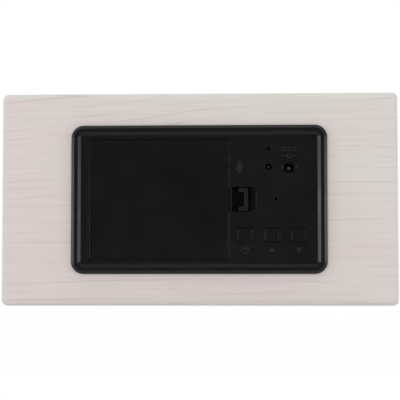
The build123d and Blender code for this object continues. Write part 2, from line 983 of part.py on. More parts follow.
def spring_shape():
    """Cone-shaped battery spring standing on its wide end, one unbroken wire."""
    quarters = 4
    turns = [step / quarters for step in range(spring_turns * quarters + 1)]
    arcs = []
    for before, after in zip(turns, turns[1:]):
        arcs += biarc(coil_point(before), coil_direction(before), coil_point(after), coil_direction(after))
    route = Wire(arcs)
    samples = 40
    points = [coil_point(step / samples) for step in range(spring_turns * samples + 1)]
    nearest = min(
        (points[first] - points[second]).length
        for first in range(len(points))
        for second in range(first + samples // 2, len(points))
    )
    print("spring: least gap to itself", round(nearest - spring_wire, 2))
    section = Plane(origin=route @ 0, z_dir=route % 0) * Circle(spring_wire / 2)
    return sweep(section, route)


def place_spring(spring, row):
    """Spring against the contact plate of a row, its narrow end towards the cell."""
    side = contact_sides()[row]
    base = contact_face(side) - side * contact_gap
    lies = Plane(origin=(-base, cell_level, panel_middle_z + cell_rows[row]), z_dir=(side, 0, 0))
    return lies * spring


def make_cell(row):
    """One cell of the chain, its nub against the dimple and its flat end at the spring."""
    side = contact_sides()[row]
    flat_end = contact_face(side) - side * (2 * contact_gap + spring_length)
    body_length = cell_length - nub_height
    lies = Plane(origin=(-flat_end, cell_level, panel_middle_z + cell_rows[row]), z_dir=(side, 0, 0))
    body = Cylinder(cell_diameter / 2, body_length, align=standing)
    body = fillet(body.edges().filter_by(GeomType.CIRCLE), cell_rounding)
    nub = Cylinder(nub_diameter / 2, nub_height, align=standing)
    nub = fillet(nub.edges().sort_by(Axis.Z)[-1], cell_rounding)
    return lies * (body + Pos(0, 0, body_length) * nub)


def make_screw(place, radius, head_radius, head, length):
    """Pan-head screw with a cross recess, its head out along +Z of the place given."""
    shank = Pos(0, 0, -length) * Cylinder(radius, length, align=standing)
    shank = chamfer(shank.edges().sort_by(Axis.Z)[0], screw_point_share * radius)
    cap = Cylinder(head_radius, head, align=standing)
    cap = fillet(cap.edges().sort_by(Axis.Z)[-1], head / 2)
    depth = head * cross_depth_share
    bar_length = head_radius * cross_length_share
    bar_width = head_radius * cross_width_share
    floor = Pos(0, 0, head - depth)
    cap -= floor * Box(bar_length, bar_width, depth + overrun, align=standing)
    cap -= floor * Box(bar_width, bar_length, depth + overrun, align=standing)
    return place * (shank + cap)


def make_board_screws():
    """Screws that hold the main board to the panel's bosses."""
    length = board_thickness + board_screw_bite
    return [
        make_screw(
            Plane(
                origin=(-across, board_front_level, panel_middle_z + up), z_dir=(0, -1, 0)
            ),
            board_screw_radius,
            board_screw_head_radius,
            board_screw_head,
            length,
        )
        for across, up in boss_places
    ]


def front_screws(places, level, radius, head_radius, head, length):
    """Screws driven forwards from behind a level of the display."""
    return [
        make_screw(
            Plane(origin=(across, level, case_middle_z + up), z_dir=(0, 1, 0)),
            radius,
            head_radius,
            head,
            length,
        )
        for across, up in places
    ]


def segment_places():
    """Middle and standing of every segment of the four digits, from the front."""
    side = (digit_width - segment_width) / 2
    rise = (digit_height - segment_width) / 2
    places = []
    for middle in digit_places:
        for up in (rise, 0, -rise):
            places.append((middle, up, False))
        for across in (-side, side):
            for up in (rise / 2, -rise / 2):
                places.append((middle + across, up, True))
    return places


def segment_outline(upright):
    """Six-sided outline of one segment, pointed at both ends."""
    lying_length = digit_width - segment_width - 2 * segment_gap
    upright_length = (digit_height - segment_width) / 2 - 2 * segment_gap
    half_length = (upright_length if upright else lying_length) / 2
    half_width = segment_width / 2
    shoulder = half_length - half_width
    outline = Polyline(
        (half_length, 0),
        (shoulder, half_width),
        (-shoulder, half_width),
        (-half_length, 0),
        (-shoulder, -half_width),
        (shoulder, -half_width),
        close=True,
    )
    return Rot(0, 0, 90 if upright else 0) * make_face(outline)


def colon_places():
    """Middles of the two dots between the pairs of digits."""
    return [(0, side * digit_height * colon_place_share) for side in (-1, 1)]


def make_light_mask():
    """Black block with a light well for every segment and a flange behind the wood."""
    mask = front_pad(0, 0, mask_width, mask_height, mask_level, display_level)
    mask += front_pad(
        0,
        0,
        window_width + 2 * mask_flange,
        window_height + 2 * mask_flange,
        front_wall_level,
        flange_back_level,
    )
    well_depth = mask_depth + 2 * overrun
    wells = []
    for across, up, upright in segment_places():
        outline = front_plane(display_level + overrun) * Pos(across, up) * segment_outline(upright)
        wells.append(extrude(outline, well_depth))
    for across, up in colon_places():
        wells.append(front_post(across, up, colon_radius, mask_level - overrun, display_level + overrun))
    mask -= wells
    hole_radius = mask_screw_radius + screw_fit
    for across, up in mask_screw_places:
        mask -= front_post(
            across, up, hole_radius, front_wall_level - overrun, flange_back_level + overrun
        )
    for across, up in display_screw_places:
        bore_end = display_level - display_screw_bite
        mask -= front_post(across, up, display_screw_radius + screw_fit, bore_end, display_level + overrun)
    return mask


def make_diffuser():
    """Thin sheet between the front film and the mask."""
    return front_pad(0, 0, mask_width, mask_height, film_level, mask_level)


def make_display_board():
    """Circuit board across the back of the mask."""
    board = front_pad(0, 0, mask_width, mask_height, display_level, display_back_level)
    hole_radius = display_screw_radius + screw_fit
    for across, up in display_screw_places:
        board -= front_post(
            across, up, hole_radius, display_level - overrun, display_back_level + overrun
        )
    return board


def make_leds():
    """One light chip behind every segment and dot."""
    chips = []
    front = display_level - led_height
    for across, up, upright in segment_places():
        width = led_width if upright else led_length
        height = led_length if upright else led_width
        chips.append(front_pad(across, up, width, height, front, display_level))
    for across, up in colon_places():
        chips.append(front_pad(across, up, led_width, led_width, front, display_level))
    return chips


nodes = {
    "wood_case": make_wood_case(),
    "front_film": make_front_film(),
    "left_end_board": make_end_board(1),
    "right_end_board": make_end_board(-1),
    "left_end_film": make_end_film(1),
    "right_end_film": make_end_film(-1),
    "rear_panel": make_rear_panel(),
    "battery_tub": make_battery_tub(),
    "battery_door": make_battery_door(),
    "door_latch": make_door_latch(),
    "main_board": make_main_board(),
    "power_inlet": make_inlet(),
    "power_inlet_sleeve": make_inlet_sleeve(),
    "power_inlet_pin": make_inlet_pin(),
    "sensor_bead": make_sensor_bead(),
    "sensor_leads": group(sensor_leads()),
    "buzzer": make_buzzer(),
    "crystal": make_crystal(),
    "capacitor": make_capacitor(),
    "main_socket": make_socket(board_front_level, -1),
    "display_socket": make_socket(display_back_level, 1),
    "ribbon_cable": make_ribbon(),
    "light_mask": make_light_mask(),
    "diffuser_sheet": make_diffuser(),
    "display_board": make_display_board(),
    "segment_leds": group(make_leds()),
    "board_screws": group(make_board_screws()),
}

# The buttons with their switches
stem_floor = stem_level - stem_length - stem_room
switches = []
for name, across in zip(button_names, button_places):
    nodes[name + "_button"] = make_button(across)
    nodes[name + "_switch_stem"] = back_post(
        across, button_row_up, stem_radius, stem_level - stem_length, stem_level
    )
    switches.append(make_switch(across, button_row_up, switch_size, switch_height, stem_radius, stem_floor))
nodes["button_switches"] = group(switches)

# The reset switch
reset_stem_level = board_level + reset_height + reset_stem_proud
reset_foot = reset_stem_level - reset_stem_length
nodes["reset_switch_stem"] = back_post(
    sensor_across, reset_up, reset_stem_radius, reset_foot, reset_stem_level
)
nodes["reset_switch"] = make_switch(
    sensor_across, reset_up, reset_size, reset_height, reset_stem_radius, reset_foot - stem_room
)

# The chips with their legs
nodes["clock_chip"] = chip_body(
    control_middle, chip_up, chip_length, chip_width, chip_thickness, board_front_level, -1
)
nodes["clock_chip_legs"] = group(
    chip_legs(control_middle, chip_up, chip_leg_count, chip_width, chip_thickness, board_front_level, -1)
)
nodes["display_driver"] = chip_body(
    -driver_across, 0, driver_length, driver_width, driver_thickness, display_back_level, 1
)
nodes["display_driver_legs"] = group(
    chip_legs(-driver_across, 0, driver_leg_count, driver_width, driver_thickness, display_back_level, 1)
)

# The cells, their contacts and springs
spring = spring_shape()
for row in range(cell_count):
    nodes["battery_cell_" + str(row + 1)] = make_cell(row)
    nodes["battery_spring_" + str(row + 1)] = place_spring(spring, row)
nodes["upper_bridge_contact"] = contact_plate(-1, (0, 1))
nodes["lower_bridge_contact"] = contact_plate(-1, (2, 3))
nodes["middle_bridge_contact"] = contact_plate(1, (1, 2))
nodes["positive_terminal"] = terminal_plate(0)
nodes["negative_terminal"] = terminal_plate(3)

# The screws of the display
nodes["mask_screws"] = group(
    front_screws(
        mask_screw_places,
        flange_back_level,
        mask_screw_radius,
        mask_screw_head_radius,
        mask_screw_head,
        mask_flange_thickness + mask_screw_bite,
    )
)
nodes["display_screws"] = group(
    front_screws(
        display_screw_places,
        display_back_level,
        display_screw_radius,
        display_screw_head_radius,
        display_screw_head,
        board_thickness + display_screw_bite,
    )
)

os.makedirs("parts", exist_ok=True)
for name, shape in nodes.items():
    export_step(shape, "parts/" + name + ".step")
print(len(nodes), "nodes")
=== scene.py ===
import math

import bmesh
import bpy
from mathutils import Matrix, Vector


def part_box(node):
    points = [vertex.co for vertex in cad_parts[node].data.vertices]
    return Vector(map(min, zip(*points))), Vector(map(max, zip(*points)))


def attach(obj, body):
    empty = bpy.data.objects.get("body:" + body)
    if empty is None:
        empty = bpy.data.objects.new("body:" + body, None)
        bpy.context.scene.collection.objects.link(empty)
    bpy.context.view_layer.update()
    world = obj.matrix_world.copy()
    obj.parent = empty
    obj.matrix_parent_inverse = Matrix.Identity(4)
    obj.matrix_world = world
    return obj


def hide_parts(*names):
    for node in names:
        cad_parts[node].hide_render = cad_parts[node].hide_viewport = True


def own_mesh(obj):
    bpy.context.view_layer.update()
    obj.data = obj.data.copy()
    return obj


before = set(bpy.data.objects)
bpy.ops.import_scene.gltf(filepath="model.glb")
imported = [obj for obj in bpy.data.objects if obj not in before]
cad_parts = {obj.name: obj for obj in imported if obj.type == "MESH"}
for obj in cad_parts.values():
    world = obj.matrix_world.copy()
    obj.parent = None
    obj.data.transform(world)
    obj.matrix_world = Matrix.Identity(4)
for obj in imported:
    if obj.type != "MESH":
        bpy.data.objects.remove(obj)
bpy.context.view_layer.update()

# A pale wooden desk clock seen from behind, with its black rear panel.
# Metres, in the frame of the solids: the panel looks along +Y and +Z is up.
# The sizes of a material's grain and spots are in millimetres.
# Colours of three numbers are as a screen shows them, and those of four are light.

# The camera
camera_place = (-0.0237, 0.5660, 0.0055)
camera_turn = math.radians(2.44)
camera_tilt = math.radians(3.58)
camera_lens = 130.8

# The floor
floor_size = 4.0
floor_drop = 0.0003
floor_colour = (0.86, 0.86, 0.86, 1.0)
floor_white_share = 0.90
floor_lift_share = 0.57
floor_gloss_level = 0.42
floor_gloss_range = (0.03, 0.14)

# The room's light
room_level = 0.52
room_broad_level = 0.93
room_top_level = 1.32
room_top_range = (0.2, 1.0)
room_gloss_level = 0.06
room_far_gloss_level = 1.0
room_far_gloss_range = (-0.35, 0.15)
room_top_gloss_level = 0.45
room_top_gloss_range = (0.45, 0.95)
white_level = 1.0
white = (1.0, 1.0, 1.0, 1.0)
side_lamp_place = (0.60, 0.12, 0.05)
side_lamp_size = (0.75, 0.115)
left_lamp_power = 1.35
right_lamp_power = 1.05
lamp_aim = (0.0, 0.0, 0.04)

# From screen colours to light
screen_white = 255.0
screen_toe = 0.04045
screen_toe_slope = 12.92
screen_offset = 0.055
screen_power = 2.4

# Noise: millimetres in a metre, layers of finer and finer spots, and where most of its values lie
scale_of_grain = 1000.0
plain_layers = 1.0
soft_layers = 2.0
fine_layers = 3.0
finest_layers = 4.0
noise_range = (0.3, 0.7)

# Sockets of a mixing node, which share their names: first value, second value and result
number_sockets = (2, 3, 0)
colour_sockets = (6, 7, 2)

# Reliefs of the surfaces, in metres
wood_depth = 0.000012
pressed_depth = 0.000016
moulding_depth = 0.000004
metal_depth = 0.000001

# The wood's finish
wood_pink = (211, 200, 198)
wood_cream = (210, 206, 201)
wood_line = (190, 175, 173)
wood_specular = 0.25
wood_rough = (0.46, 0.60)
wood_rough_range = (0.25, 0.75)

# The wood's lines
ring_spacing = 3.7
ring_rise_shares = (0.82, 0.94)
ring_fall_shares = (0.95, 1.0)
ring_wander = 9.0
ring_wander_size = (95.0, 34.0, 40.0)
ring_jitter_share = 1.4
ring_jitter_size = (150.0, 9.0, 20.0)
grain_slope_share = 0.09
grain_bend_share = 0.0004
grain_calm_share = 0.25
grain_calm_range = (38.0, 95.0)
fade_size = (38.0, 5.0, 10.0)
fade_range = (0.36, 0.64)
fade_low_share = 0.10
line_share = 0.66
line_faint_share = 0.6
line_faint_range = (-70.0, 40.0)

# The wood's tone, a painted highlight along the edges of the rear face, and a painted shade strip at
# each end
tone_size = (90.0, 26.0, 40.0)
tone_range = (0.30, 0.80)
tone_side_share = -0.0012
tone_up_share = 0.0030
tone_start = -0.16
# Painted highlight: paler cream just behind the edges of the rear face, weaker at the bottom
painted_edge_light_range = (0.05, 0.8)
painted_edge_light_fade = (4.0, 12.0)
painted_edge_light_rise = (2.0, 10.0)
painted_edge_light_low_share = 0.5
# Painted shade: a dim strip at each end of the rear face, where the case rounds off
painted_shade_strip_range = (73.2, 74.2)
painted_shade_strip_fade = (77.0, 85.0)
painted_shade_strip_share = 0.12

# The wood's streaks, fibres and pores
streak_size = (55.0, 1.2, 10.0)
streak_range = (0.32, 0.68)
streak_shades = (0.98, 1.015)
fibre_size = (16.0, 0.42, 3.0)
fibre_shades = (0.98, 1.015)
pore_size = (2.6, 0.16, 1.0)
pore_range = (0.62, 0.80)
pore_shade = 0.95
pore_depth_share = 0.5

# The moulded plastics: colour, and roughness from the glossiest to the dullest spot
plastics = {
    "black_plastic": ((0.0053, 0.0053, 0.0056, 1.0), (0.28, 0.34)),
    "door_plastic": ((0.0036, 0.0036, 0.0038, 1.0), (0.30, 0.36)),
    "latch_plastic": ((0.0095, 0.0095, 0.0098, 1.0), (0.32, 0.40)),
    "button_plastic": ((0.0050, 0.0050, 0.0053, 1.0), (0.27, 0.33)),
    "mark_plastic": ((0.0150, 0.0150, 0.0154, 1.0), (0.30, 0.38)),
    "socket_plastic": ((0.012, 0.012, 0.013, 1.0), (0.45, 0.60)),
    "stem_plastic": ((0.010, 0.010, 0.010, 1.0), (0.40, 0.52)),
    "chip_plastic": ((0.016, 0.016, 0.017, 1.0), (0.50, 0.68)),
    "bead_epoxy": ((0.016, 0.016, 0.018, 1.0), (0.22, 0.32)),
}
plain_specular = 0.5
moulding_grain = (0.22, 0.22, 0.22)
moulding_cloud = (9.0, 9.0, 9.0)
moulding_edge = 0.00030
moulding_edge_rays = 6
pale_gain = 2.2
pale_lift = 0.02
pale_share = 0.04
dust_size = (0.9, 0.9, 0.9)
dust_range = (0.74, 0.80)
dust_share = 0.10
dust_colour = (150, 148, 146)

# The metals: colour, roughness, and the size of the drawn streaks
metals = {
    "nickel": ((214, 211, 204), (0.24, 0.40), (6.0, 0.3, 6.0)),
    "pin_metal": ((228, 227, 224), (0.42, 0.55), (0.4, 4.0, 0.4)),
    "zinc": ((196, 197, 198), (0.30, 0.46), (0.5, 2.0, 0.5)),
    "drawn_can": ((206, 206, 208), (0.26, 0.42), (0.5, 3.0, 0.5)),
    "spring_steel": ((208, 205, 198), (0.22, 0.34), (0.6, 0.6, 0.6)),
}
metal_dull_share = 0.7
metal_streak_share = 0.6
metal_streak_range = (0.3, 0.75)

# The circuit boards
mask_dark = (14, 78, 40)
mask_light = (20, 92, 50)
mask_weave = (0.8, 0.8, 0.8)
mask_rough = (0.25, 0.38)
track_colour = (46, 128, 70)
track_density = 0.38
track_disorder = 0.6
track_edge = (0.05, 0.09)

# The bare end boards
pressed_dark = (168, 132, 96)
pressed_light = (206, 172, 134)
pressed_coarse = (1.6, 0.5, 1.6)
pressed_fine = (0.3, 0.3, 0.3)
pressed_rough = (0.75, 0.92)
pressed_specular = 0.1

# The milky sheets: colour and lowest roughness
milky_sheets = {
    "lamp_chip": ((240, 232, 190), 0.22),
    "diffuser": ((236, 236, 230), 0.45),
}
milky_haze = (2.5, 2.5, 2.5)
milky_dull_share = 0.9
milky_rough_spread = 0.12
milky_specular = 0.4
milky_through_share = 0.3
milky_through_depth = 0.001

# The cells' wrappers, with shares of a cell's length from its flat end
cell_blue = (66, 92, 118)
cell_ring = (196, 200, 204)
cell_steel = (200, 198, 192)
cell_worn_share = 0.8
cell_haze = (9.0, 4.0, 4.0)
cell_rough = (0.38, 0.43)
cell_foot_share = 0.008
cell_ring_start_share = 0.84
cell_ring_end_share = 0.87
cell_shoulder_share = 0.972

# The digits that shine through the front
digit_width = 0.01702
digit_height = 0.030
segment_width = 0.0042
segment_gap = 0.0006
inner_digit = 0.01804
outer_digit = 0.04102
colon_radius = 0.0021
colon_height = 0.0066
glow_edge = 0.0009
film_step = 0.00055
film_window = (0.056, 0.021)
lit_digits = "1008"
lit_segments = {
    "0": "abcdef",
    "1": "bc",
    "8": "abcdefg",
}
glow_colour = (236, 243, 248)
glow_share = 0.85
glow_strength = 0.12

# The way along X that the nub of each cell points
nub_sides = {"1": -1, "2": 1, "3": -1, "4": 1}

# The battery springs
spring_wire = 0.0005
spring_length = 0.0042
spring_base_radius = 0.0034
spring_tip_radius = 0.0020
spring_turns = 3
spring_flat_turn_share = 0.25
spring_steps = 48
spring_sides = 10
spring_slack = 0.00005

# The ribbon cable
ribbon_thickness = 0.0008
ribbon_wires = 10
ribbon_waist_share = 0.62
ribbon_crest_shares = (0.25, 0.75)
ribbon_steps = 12
ribbon_order = 3
ribbon_dark = (150, 152, 156)
ribbon_light = (172, 173, 176)
ribbon_red = (170, 40, 36)
ribbon_haze = (2.0, 2.0, 2.0)
ribbon_rough = (0.35, 0.50)
ribbon_specular = 0.4

# The raised marks on the panel
mark_rise = 0.00028
mark_root = 0.00005
mark_bevel = 0.00014
mark_bevel_steps = 2
mark_join = 0.000014
mark_line = 0.0005
mark_ring_steps = 28
pointing_up = 90
pointing_down = 270
arrow_place = (0.01535, 0.0122)
arrow_size = 0.0048
arrow_shaft_width = 3 * mark_line
arrow_shaft_share = 0.5
arrow_head_share = 0.85
arrow_head_drop_share = 0.2
supply_place = (0.0340, 0.0184)
supply_size = 0.0056
supply_bar_rise = 2 * mark_line
supply_dash_share = 0.26
supply_dash_step_share = 0.36
supply_ring_drop = 4 * mark_line
supply_ring_radius = 2 * mark_line
supply_arm_share = 0.28
supply_arm_step_share = 0.34
button_mark_up = -0.0190
button_mark_size = 0.0030
hand_up = 1.5 * mark_line
hand_across = 1.7 * mark_line

# What the solids wear
worn_by = {
    "whitewashed_wood": ["wood_case"],
    "left_end_wood": ["left_end_film"],
    "right_end_wood": ["right_end_film"],
    "fibreboard": ["left_end_board", "right_end_board"],
    "black_plastic": ["rear_panel", "battery_tub", "light_mask"],
    "door_plastic": ["battery_door"],
    "latch_plastic": ["door_latch"],
    "button_plastic": ["left_button", "middle_button", "right_button"],
    "socket_plastic": ["power_inlet", "main_socket", "display_socket", "buzzer"],
    "stem_plastic": [
        "left_switch_stem",
        "middle_switch_stem",
        "right_switch_stem",
        "reset_switch_stem",
    ],
    "chip_plastic": ["clock_chip", "display_driver", "capacitor"],
    "bead_epoxy": ["sensor_bead"],
    "circuit_board": ["main_board", "display_board"],
    "nickel": [
        "upper_bridge_contact",
        "middle_bridge_contact",
        "lower_bridge_contact",
        "positive_terminal",
        "negative_terminal",
        "power_inlet_sleeve",
        "clock_chip_legs",
        "display_driver_legs",
        "sensor_leads",
    ],
    "pin_metal": ["power_inlet_pin"],
    "zinc": ["board_screws", "mask_screws", "display_screws"],
    "drawn_can": ["button_switches", "reset_switch", "crystal"],
    "lamp_chip": ["segment_leds"],
    "diffuser": ["diffuser_sheet"],
    "cell_nub_right": ["battery_cell_1", "battery_cell_3"],
    "cell_nub_left": ["battery_cell_2", "battery_cell_4"],
}


def box_middle(node):
    """Middle of a node's box at rest."""
    low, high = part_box(node)
    return (low + high) / 2


# The levels and places that the solids set
case_half_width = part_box("left_end_film")[1].x
case_middle_z = box_middle("wood_case").z
wood_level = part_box("wood_case")[1].y
panel_middle_z = box_middle("rear_panel").z
field_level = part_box("battery_door")[1].y
ribbon_low, ribbon_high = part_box("ribbon_cable")
ribbon_width = ribbon_high.x - ribbon_low.x
ribbon_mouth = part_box("main_socket")[0].z


def tint(colour):
    """Colour as a screen shows it, turned into light."""
    light = []
    for level in colour:
        shown = level / screen_white
        if shown < screen_toe:
            light.append(shown / screen_toe_slope)
        else:
            light.append(((shown + screen_offset) / (1.0 + screen_offset)) ** screen_power)
    return (*light, 1.0)


def dimmed(colour, share):
    """Share of a colour's light."""
    return (*(share * value for value in colour[:3]), 1.0)


def add_node(tree, kind, inputs=None, **settings):
    """New node with its settings, its sockets given as values or as links."""
    node = tree.nodes.new(kind)
    for name, value in settings.items():
        setattr(node, name, value)
    for key, value in (inputs or {}).items():
        if isinstance(value, bpy.types.NodeSocket):
            tree.links.new(value, node.inputs[key])
        else:
            node.inputs[key].default_value = value
    return node


def calc(tree, operation, first, second=0.0, third=0.0):
    """Result of one sum on numbers."""
    inputs = {0: first, 1: second, 2: third}
    return add_node(tree, "ShaderNodeMath", inputs, operation=operation).outputs[0]


def spread(tree, value, from_range, to_range):
    """Value carried smoothly from one range to another, and held at its ends."""
    inputs = dict(enumerate((value, *from_range, *to_range)))
    return add_node(tree, "ShaderNodeMapRange", inputs, interpolation_type="SMOOTHSTEP").outputs[0]


def rising(tree, value, ends):
    """0 before a range, 1 past it and a smooth step within it."""
    return spread(tree, value, ends, (0.0, 1.0))


def falling(tree, value, ends):
    """1 before a range, 0 past it and a smooth step within it."""
    return spread(tree, value, ends, (1.0, 0.0))


def blend(tree, share, first, second, sockets, **settings):
    """Result of a mixing node for the kind of value that its sockets are for."""
    first_socket, second_socket, result = sockets
    inputs = {0: share, first_socket: first, second_socket: second}
    return add_node(tree, "ShaderNodeMix", inputs, **settings).outputs[result]


def blend_numbers(tree, share, first, second):
    """Mixture of two numbers."""
    return blend(tree, share, first, second, number_sockets, data_type="FLOAT")


def blend_colours(tree, share, first, second, blend_type="MIX"):
    """Mixture of two colours."""
    settings = {"data_type": "RGBA", "blend_type": blend_type}
    return blend(tree, share, first, second, colour_sockets, **settings)


def scaled(tree, place, scale):
    """Place with each axis multiplied by its own number."""
    inputs = {0: place, 1: scale}
    return add_node(tree, "ShaderNodeVectorMath", inputs, operation="MULTIPLY").outputs[0]


def drawn_place(tree):
    """Place on the object in millimetres."""
    place = add_node(tree, "ShaderNodeTexCoord").outputs["Object"]
    return scaled(tree, place, (scale_of_grain, scale_of_grain, scale_of_grain))


def cloud(tree, place, size, layers=soft_layers):
    """Noise whose features have a given size along each axis."""
    near = scaled(tree, place, tuple(1.0 / length for length in size))
    inputs = {"Vector": near, "Scale": 1.0, "Detail": layers}
    return add_node(tree, "ShaderNodeTexNoise", inputs).outputs[0]


def new_material(name, specular=plain_specular, **values):
    """Material with one shader, its plain values set on the shader itself."""
    material = bpy.data.materials.new(name)
    material.use_nodes = True
    tree = material.node_tree
    tree.nodes.clear()
    shader = add_node(tree, "ShaderNodeBsdfPrincipled", {"Specular IOR Level": specular})
    for socket, value in values.items():
        shader.inputs[socket.replace("_", " ")].default_value = value
    add_node(tree, "ShaderNodeOutputMaterial", {"Surface": shader.outputs["BSDF"]})
    return material, tree, shader


def feed(tree, shader, **sockets):
    """Links outputs to the shader's inputs, named with underscores."""
    for name, output in sockets.items():
        tree.links.new(output, shader.inputs[name.replace("_", " ")])


def emboss(tree, shader, height, depth, edge=0.0):
    """Relief from a height map, over edges that are rounded off where edge gives a radius."""
    inputs = {"Strength": 1.0, "Distance": depth, "Height": height}
    if edge:
        rounded = add_node(tree, "ShaderNodeBevel", {"Radius": edge}, samples=moulding_edge_rays)
        inputs["Normal"] = rounded.outputs[0]
    bump = add_node(tree, "ShaderNodeBump", inputs)
    feed(tree, shader, Normal=bump.outputs["Normal"])


def wood_lines(tree, place, along, cross):
    """How strongly the dark lines of the grain show."""
    wander = calc(tree, "MULTIPLY", cloud(tree, place, ring_wander_size, plain_layers), ring_wander)
    bend = calc(tree, "MULTIPLY_ADD", along, grain_bend_share, grain_slope_share)
    calm = spread(tree, cross, grain_calm_range, (grain_calm_share, 1.0))
    lean = calc(tree, "MULTIPLY_ADD", calc(tree, "MULTIPLY", along, bend), calm, wander)
    level = calc(tree, "ADD", cross, lean)
    jitter = calc(tree, "MULTIPLY", cloud(tree, place, ring_jitter_size), ring_jitter_share)
    ring = calc(tree, "FRACT", calc(tree, "MULTIPLY_ADD", level, 1.0 / ring_spacing, jitter))
    rise = rising(tree, ring, ring_rise_shares)
    fall = falling(tree, ring, ring_fall_shares)
    fade = spread(tree, cloud(tree, place, fade_size), fade_range, (fade_low_share, 1.0))
    line = calc(tree, "MULTIPLY", calc(tree, "MULTIPLY", rise, fall), fade)
    faint = line_share * line_faint_share
    return calc(tree, "MULTIPLY", line, spread(tree, along, line_faint_range, (faint, line_share)))


def wood_tone_and_painted_edge_light(tree, place, along, cross, depth, height):
    """Share of cream in the wood: in broad clouds, and as a painted highlight just behind the edges of
    the rear face, weaker at the bottom.
    """
    gradient = calc(tree, "MULTIPLY_ADD", along, tone_side_share, tone_start)
    gradient = calc(tree, "MULTIPLY_ADD", cross, tone_up_share, gradient)
    gradient = calc(tree, "ADD", cloud(tree, place, tone_size), gradient)
    # Painted highlight: cream laid just behind the rear face's edges, half as strong at the bottom.
    near = rising(tree, depth, painted_edge_light_range)
    far = falling(tree, depth, painted_edge_light_fade)
    edge = calc(tree, "MULTIPLY", near, far)
    painted_top_light = spread(tree, height, painted_edge_light_rise, (painted_edge_light_low_share, 1.0))
    edge = calc(tree, "MULTIPLY", edge, painted_top_light)
    return calc(tree, "MAXIMUM", rising(tree, gradient, tone_range), edge)


def wood_shade(tree, place, along, fibre, pore):
    """Brightness of the wood: its streaks, fibres and pores, and a painted shade strip at each end."""
    streak = spread(tree, cloud(tree, place, streak_size), streak_range, streak_shades)
    thread = spread(tree, fibre, noise_range, fibre_shades)
    fleck = spread(tree, pore, pore_range, (1.0, pore_shade))
    shade = calc(tree, "MULTIPLY", calc(tree, "MULTIPLY", streak, thread), fleck)
    # Painted shade: the wood is dimmed in a strip at each end of the rear face.
    reach = calc(tree, "ABSOLUTE", along)
    near = spread(tree, reach, painted_shade_strip_range, (0.0, painted_shade_strip_share))
    strip = calc(tree, "MULTIPLY", near, falling(tree, reach, painted_shade_strip_fade))
    return calc(tree, "MULTIPLY", shade, calc(tree, "SUBTRACT", 1.0, strip))


def wood_material(name, end=0, glowing=False):
    """Whitewashed grain that runs round the case; end is the side of an end film along X."""
    material, tree, shader = new_material(name, wood_specular)
    axes = add_node(tree, "ShaderNodeSeparateXYZ", {0: drawn_place(tree)}).outputs
    back = wood_level * scale_of_grain
    depth = calc(tree, "SUBTRACT", back, axes["Y"])
    if end:
        along = calc(tree, "MULTIPLY_ADD", depth, end, end * case_half_width * scale_of_grain)
        cross = calc(tree, "ADD", axes["Z"], back)
    else:
        along = axes["X"]
        cross = calc(tree, "ADD", axes["Z"], axes["Y"])
    place = add_node(tree, "ShaderNodeCombineXYZ", {0: along, 1: cross}).outputs[0]
    fibre = cloud(tree, place, fibre_size, finest_layers)
    pore = cloud(tree, place, pore_size)
    # Share of cream: the wood's tone together with the painted edge highlight.
    tone_and_painted_edge_light = wood_tone_and_painted_edge_light(tree, place, along, cross, depth, axes["Z"])
    colour = blend_colours(tree, tone_and_painted_edge_light, tint(wood_pink), tint(wood_cream))
    colour = blend_colours(tree, wood_lines(tree, place, along, cross), colour, tint(wood_line))
    shade = wood_shade(tree, place, along, fibre, pore)
    colour = blend_colours(tree, 1.0, colour, shade, "MULTIPLY")
    if glowing:
        glow = add_node(tree, "ShaderNodeAttribute", attribute_name="glow").outputs["Fac"]
        lit = calc(tree, "MULTIPLY", glow, glow_share)
        colour = blend_colours(tree, lit, colour, tint(glow_colour))
        shader.inputs["Emission Color"].default_value = tint(glow_colour)
        feed(tree, shader, Emission_Strength=calc(tree, "MULTIPLY", glow, glow_strength))
    rough = spread(tree, fibre, wood_rough_range, wood_rough)
    feed(tree, shader, Base_Color=colour, Roughness=rough)
    relief = calc(tree, "ADD", fibre, calc(tree, "MULTIPLY", pore, pore_depth_share))
    emboss(tree, shader, relief, wood_depth)
    return material


def moulded_plastic(name, colour, rough):
    """Plastic with a fine moulded texture, soft clouds of gloss and a few specks of dust."""
    material, tree, shader = new_material(name)
    place = drawn_place(tree)
    grain = cloud(tree, place, moulding_grain, fine_layers)
    haze = cloud(tree, place, moulding_cloud, fine_layers)
    speck = spread(tree, cloud(tree, place, dust_size, plain_layers), dust_range, (0.0, dust_share))
    pale = (*(pale_gain * value + pale_lift for value in colour[:3]), 1.0)
    body = blend_colours(tree, spread(tree, haze, noise_range, (0.0, pale_share)), colour, pale)
    body = blend_colours(tree, speck, body, tint(dust_colour))
    feed(tree, shader, Base_Color=body, Roughness=spread(tree, haze, noise_range, rough))
    emboss(tree, shader, grain, moulding_depth, moulding_edge)
    return material


def plated_metal(name, colour, rough, grain):
    """Metal with drawn streaks and a slightly uneven shine."""
    material, tree, shader = new_material(name, Metallic=1.0)
    streak = cloud(tree, drawn_place(tree), grain, fine_layers)
    bright = tint(colour)
    share = spread(tree, streak, metal_streak_range, (0.0, metal_streak_share))
    body = blend_colours(tree, share, bright, dimmed(bright, metal_dull_share))
    feed(tree, shader, Base_Color=body, Roughness=spread(tree, streak, noise_range, rough))
    emboss(tree, shader, streak, metal_depth)
    return material


